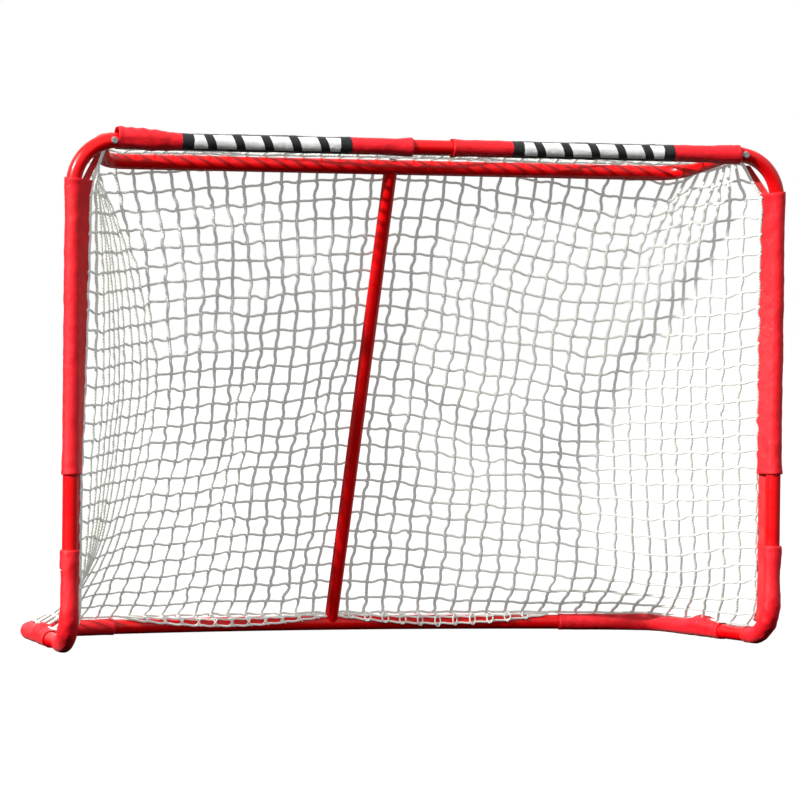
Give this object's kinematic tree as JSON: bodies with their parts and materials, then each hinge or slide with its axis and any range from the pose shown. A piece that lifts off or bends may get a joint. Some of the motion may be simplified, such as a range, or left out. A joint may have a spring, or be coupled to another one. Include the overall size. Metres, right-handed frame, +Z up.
{
  "type": "hockey goal net",
  "caption": "Free-standing knock-down steel goal with a laced white net, a shallow top shelf, a sloping centre post and fabric sleeves over its tubes.",
  "frame": {"origin": "on the floor, at the centre of the goal's footprint", "axes": "+X along the crossbar to the right as a shooter sees it, +Y from the mouth to the back of the net, +Z up"},
  "size_m": [1.914, 0.786, 1.272],
  "materials": {
    "frame_paint": "glossy red powder coat",
    "sleeve_fabric": "coated red nylon, creased",
    "crossbar_sleeve_fabric": "coated red nylon with a plain dark band and pale blocks",
    "net_cord": "white braided polyester",
    "binding_webbing": "woven red edge tape",
    "zinc_steel": "bright zinc plating",
    "button_steel": "plated",
    "spring_steel": "oiled spring steel",
    "ring_plastic": "moulded white nylon",
    "lacing_cord": "white braided cord"
  },
  "bodies": {
    "goal": {"upper_frame_left": "frame_paint", "lower_frame_left": "frame_paint", "crossbar_sleeve_left": "crossbar_sleeve_fabric", "upper_post_sleeve_left": "sleeve_fabric", "lower_post_sleeve_left": "sleeve_fabric", "base_sleeve_left": "sleeve_fabric", "net_side_left": "net_cord", "net_binding_left": "binding_webbing", "upper_frame_right": "frame_paint", "lower_frame_right": "frame_paint", "crossbar_sleeve_right": "crossbar_sleeve_fabric", "upper_post_sleeve_right": "sleeve_fabric", "lower_post_sleeve_right": "sleeve_fabric", "base_sleeve_right": "sleeve_fabric", "net_side_right": "net_cord", "net_binding_right": "binding_webbing", "base_rear_bar": "frame_paint", "top_shelf_tube": "frame_paint", "centre_post": "frame_paint", "frame_bolts": "zinc_steel", "bolt_washers": "zinc_steel", "shelf_leg_plugs": "zinc_steel", "centre_post_plug": "zinc_steel", "post_button_spring_left": "spring_steel", "post_button_spring_right": "spring_steel", "crossbar_button_spring": "spring_steel", "base_button_spring_left": "spring_steel", "base_button_spring_right": "spring_steel", "net_back": "net_cord", "net_roof": "net_cord", "net_rings": "ring_plastic", "draw_cord": "lacing_cord", "hem_cord": "lacing_cord"},
    "post_button_left": {"post_button_left": "button_steel"},
    "post_button_right": {"post_button_right": "button_steel"},
    "crossbar_button": {"crossbar_button": "button_steel"},
    "base_button_left": {"base_button_left": "button_steel"},
    "base_button_right": {"base_button_right": "button_steel"}
  },
  "joints": [
    {"name": "post_button_left_press", "type": "slide", "parent": "goal", "child": "post_button_left", "axis": [1, 0, 0], "range_m": [0, 0.0048], "stiffness_N_per_m": 1200, "springref_m": -0.003, "deforming": ["post_button_spring_left"]},
    {"name": "post_button_right_press", "type": "slide", "parent": "goal", "child": "post_button_right", "axis": [-1, 0, 0], "range_m": [0, 0.0048], "stiffness_N_per_m": 1200, "springref_m": -0.003, "deforming": ["post_button_spring_right"]},
    {"name": "crossbar_button_press", "type": "slide", "parent": "goal", "child": "crossbar_button", "axis": [0, -1, 0], "range_m": [0, 0.0048], "stiffness_N_per_m": 1200, "springref_m": -0.003, "deforming": ["crossbar_button_spring"]},
    {"name": "base_button_left_press", "type": "slide", "parent": "goal", "child": "base_button_left", "axis": [0.2109, -0.9775, 0], "range_m": [0, 0.0048], "stiffness_N_per_m": 1200, "springref_m": -0.003, "deforming": ["base_button_spring_left"]},
    {"name": "base_button_right_press", "type": "slide", "parent": "goal", "child": "base_button_right", "axis": [-0.2109, -0.9775, 0], "range_m": [0, 0.0048], "stiffness_N_per_m": 1200, "springref_m": -0.003, "deforming": ["base_button_spring_right"]}
  ]
}
